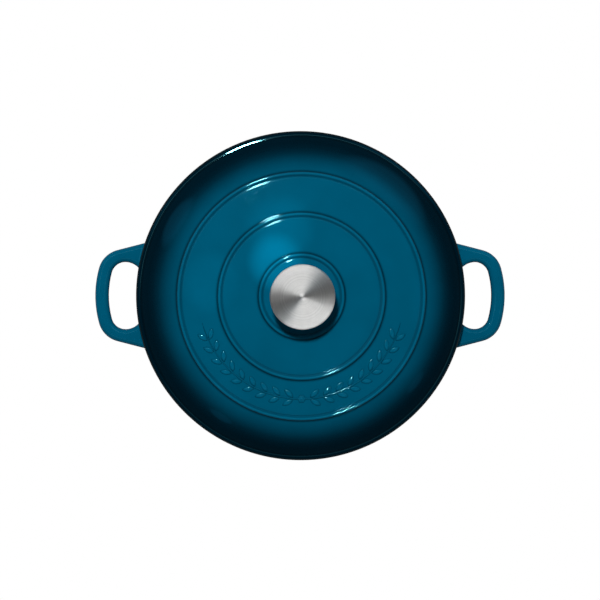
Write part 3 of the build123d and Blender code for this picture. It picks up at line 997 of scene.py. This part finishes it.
def surroundings(colours, key_bearing):
    """White behind the object, soft to matte surfaces, and a dark studio with soft boxes in reflections."""
    nodes = Nodes(bpy.data.worlds.new("surroundings"))
    nodes.tree.nodes.remove(nodes.tree.nodes["Background"])
    view = nodes.coordinates.outputs["Generated"]
    x, y, up = nodes.add("ShaderNodeSeparateXYZ", None, Vector=view).outputs
    glow = nodes.ramp(up, ((0.0, (0.05, 0.055, 0.06)), (0.3, (0.02, 0.023, 0.026)), (0.7, 0.0), (1.0, 0.0)))
    for bearing, tilt, spread, strength in SOFTBOXES:
        facing = nodes.add(
            "ShaderNodeVectorMath",
            {"operation": "DOT_PRODUCT"},
            i0=view,
            i1=toward(radians(bearing), radians(tilt)),
        ).outputs["Value"]
        lit = nodes.between(facing, cos(radians(1.3 * spread)), cos(radians(0.7 * spread)), 0.0, strength)
        glow = nodes.mix(lit, glow, colours.softbox, "ADD")
    sideways = toward(key_bearing, pi / 2)
    across = nodes.math("ADD", nodes.math("MULTIPLY", x, sideways.x), nodes.math("MULTIPLY", y, sideways.y))
    flat = nodes.math("SQRT", nodes.math("SUBTRACT", 1.0, nodes.math("MULTIPLY", up, up)))
    aimed = nodes.math("DIVIDE", across, nodes.math("MAXIMUM", flat, 0.001))
    in_line = nodes.between(nodes.math("ABSOLUTE", aimed), 0.18, 0.48)
    high = nodes.ramp(up, ((0.84, 0.0), (0.855, 1.0), (0.893, 1.0), (0.908, 0.0)))
    brighter = nodes.between(aimed, -1.0, 1.0, 0.6, 1.6)
    arcs = nodes.math("MULTIPLY", nodes.math("MULTIPLY", in_line, high), brighter)
    glow = nodes.mix(1.0, glow, nodes.grey(arcs), "ADD")
    ray = nodes.add("ShaderNodeLightPath").outputs
    shine = nodes.add("ShaderNodeBackground", None, Color=glow).outputs[0]
    low_fill = nodes.ramp(up, ((0.0, 0.9), (0.15, 0.8), (0.35, 0.12), (0.7, 0.05), (1.0, 0.02)))
    fill = nodes.add("ShaderNodeBackground", None, Color=low_fill).outputs[0]
    white = nodes.add("ShaderNodeBackground", None, Color=colours.floor).outputs[0]
    unseen = nodes.add("ShaderNodeMixShader", None, i0=ray["Is Diffuse Ray"], i1=shine, i2=fill).outputs[0]
    seen = nodes.add("ShaderNodeMixShader", None, i0=ray["Is Camera Ray"], i1=unseen, i2=white).outputs[0]
    nodes.put(seen, nodes.tree.nodes["World Output"].inputs["Surface"])
    return nodes.owner


def floor_surface(colours):
    """White to the camera with a painted soft shadow under the pot, and dimmer in reflections, with painted
    shade near the pot there.
    """
    nodes = material("floor")
    radius, _ = nodes.axis_radius_and_height()
    # painted shadow under the pot, the same whatever the pose
    shadow = nodes.ramp(radius, ((0.085, 0.30), (0.105, 0.62), (0.125, 0.88), (0.144, 1.0)))
    seen = nodes.mix(1.0, shadow, colours.floor, "MULTIPLY")
    # painted shade near the pot in what the enamel mirrors
    mirrored_painted_shade = nodes.ramp(radius, ((0.12, 0.01), (0.26, 0.10), (0.60, 0.22)))
    ray = nodes.add("ShaderNodeLightPath").outputs
    unseen = nodes.mix(ray["Is Diffuse Ray"], mirrored_painted_shade, (0.55, 0.55, 0.55))
    return nodes.finish(
        Base_Color=(0.0, 0.0, 0.0),
        Roughness=1.0,
        Specular_IOR_Level=0.0,
        Emission_Color=nodes.mix(ray["Is Camera Ray"], unseen, seen),
        Emission_Strength=1.0,
    )


def lamp(name, kind, place, aim, energy, **settings):
    """A lamp at a place, turned to face a point."""
    data = bpy.data.lights.new(name, kind)
    data.energy = energy
    for key, value in settings.items():
        setattr(data, key, value)
    piece = bpy.data.objects.new(name, data)
    piece.location = place
    piece.rotation_mode = "QUATERNION"
    piece.rotation_quaternion = (place - aim).to_track_quat("Z", "Y")
    bpy.context.scene.collection.objects.link(piece)
    return piece


FLOOR_HALF_SIDE = 30.0  # metres
LAMP_BEARING, LAMP_DISTANCE = -19, 1.6  # degrees from the back, metres from the lid's crown
KEY_TILT, GLINT_TILT, KNOB_LIGHT_TILT = 19.5, 27, 30  # degrees from upright
CAMERA_BEARING, CAMERA_TILT, CAMERA_DISTANCE = -54, 1.7, 1.636  # degrees, degrees, metres
CAMERA_AIM = Vector((-0.0007, -0.0034, POT_BOX[1].z))
GLOWS = (  # soft pools of light on the lid: bearing and distance of the middle, reach, power
    ("glow_by_knob", -36, 0.035, 0.026, 95.0),
    ("glow_behind_knob", -18, 0.058, 0.032, 32.0),
    ("glow_by_ring", -80, 0.076, 0.028, 22.0),
)
KNOB_LIGHTS = (  # lights that only the knob mirrors: bearing and power
    (-56, 2.3),
    (-21, 2.3),
    (14, 2.3),
    (124, 2.7),
    (159, 2.7),
    (194, 2.7),
)


class CASSEROLE_OT_stage(bpy.types.Operator):
    """Sets the pale floor, the lights, the surroundings and the camera"""

    bl_idname = "casserole.stage"
    bl_label = "Stage"

    def execute(self, context):
        scene = context.scene
        colours = scene.casserole_colours
        scene.view_settings.view_transform = "Standard"
        side = FLOOR_HALF_SIDE
        corners = [(-side, -side, 0), (side, -side, 0), (side, side, 0), (-side, side, 0)]
        floor = from_mesh_parts("floor", [(corners, [(0, 1, 2, 3)])])
        dress(floor, floor_surface(colours))
        bearing, distance = radians(LAMP_BEARING), LAMP_DISTANCE
        scene.world = surroundings(colours, bearing)

        crown = Vector((0, 0, dome_height(scene.casserole_lid, 0)))
        overhead = crown + toward(bearing, radians(KEY_TILT)) * distance
        disc = {"shape": "DISK", "size": 0.16}
        key = lamp("key", "AREA", overhead, crown, 22.0, **disc)
        key.visible_glossy = False
        lower = crown + toward(bearing, radians(GLINT_TILT)) * distance
        glint = lamp("glint", "AREA", lower, crown, 34.0, **disc)
        glint.visible_diffuse = False
        glint.light_linking.receiver_collection = bpy.data.collections.new("glossy_enamel")
        on_knob = bpy.data.collections.new("bright_steel")
        for number, (turn, energy) in enumerate(KNOB_LIGHTS):
            place = crown + toward(radians(turn), radians(KNOB_LIGHT_TILT)) * distance
            shine = lamp(f"knob_light_{number}", "AREA", place, crown, energy, shape="DISK", size=0.4)
            shine.visible_diffuse = False
            shine.light_linking.receiver_collection = on_knob
        for name, turn, out, spread, energy in GLOWS:
            aim = crown + toward(radians(turn), pi / 2) * out
            cone = 2 * atan2(spread, distance)
            glow = lamp(name, "SPOT", overhead, aim, energy, spot_size=cone, spot_blend=1.0)
            glow.visible_glossy = False

        camera_data = bpy.data.cameras.new("camera")
        camera_data.lens = 119.6
        camera_data.sensor_width = 36.0
        camera = bpy.data.objects.new("camera", camera_data)
        away = toward(radians(CAMERA_BEARING), radians(CAMERA_TILT))
        camera.location = CAMERA_AIM + away * CAMERA_DISTANCE
        camera.rotation_mode = "QUATERNION"
        camera.rotation_quaternion = Vector((0, 0, 1)).rotation_difference(away)
        scene.collection.objects.link(camera)
        scene.camera = camera
        return {"FINISHED"}


class CASSEROLE_PT_panel(bpy.types.Panel):
    """Lists the pieces of the casserole"""

    bl_label = "Casserole"
    bl_space_type = "VIEW_3D"
    bl_region_type = "UI"
    bl_category = "Casserole"

    def draw(self, context):
        for operator in OPERATORS:
            self.layout.operator(operator.bl_idname)


GROUPS = {
    "casserole_lid": CasseroleLidSizes,
    "casserole_ring": CasseroleRingSizes,
    "casserole_garland": CasseroleGarlandSizes,
    "casserole_knob": CasseroleKnobSizes,
    "casserole_pot": CasserolePotSizes,
    "casserole_colours": CasseroleColours,
}
OPERATORS = (
    CASSEROLE_OT_stage,
    CASSEROLE_OT_pot,
    CASSEROLE_OT_lid,
    CASSEROLE_OT_garland,
    CASSEROLE_OT_knob,
    CASSEROLE_OT_fittings,
)


def register():
    for group in GROUPS.values():
        bpy.utils.register_class(group)
    for name, group in GROUPS.items():
        setattr(bpy.types.Scene, name, PointerProperty(type=group))
    for operator in OPERATORS:
        bpy.utils.register_class(operator)
    bpy.utils.register_class(CASSEROLE_PT_panel)


def unregister():
    bpy.utils.unregister_class(CASSEROLE_PT_panel)
    for operator in reversed(OPERATORS):
        bpy.utils.unregister_class(operator)
    for name in GROUPS:
        delattr(bpy.types.Scene, name)
    for group in reversed(GROUPS.values()):
        bpy.utils.unregister_class(group)


def main():
    register()
    for name in ("stage", "pot", "lid", "garland", "knob", "fittings"):
        getattr(bpy.ops.casserole, name)()


if __name__ == "__main__":
    main()
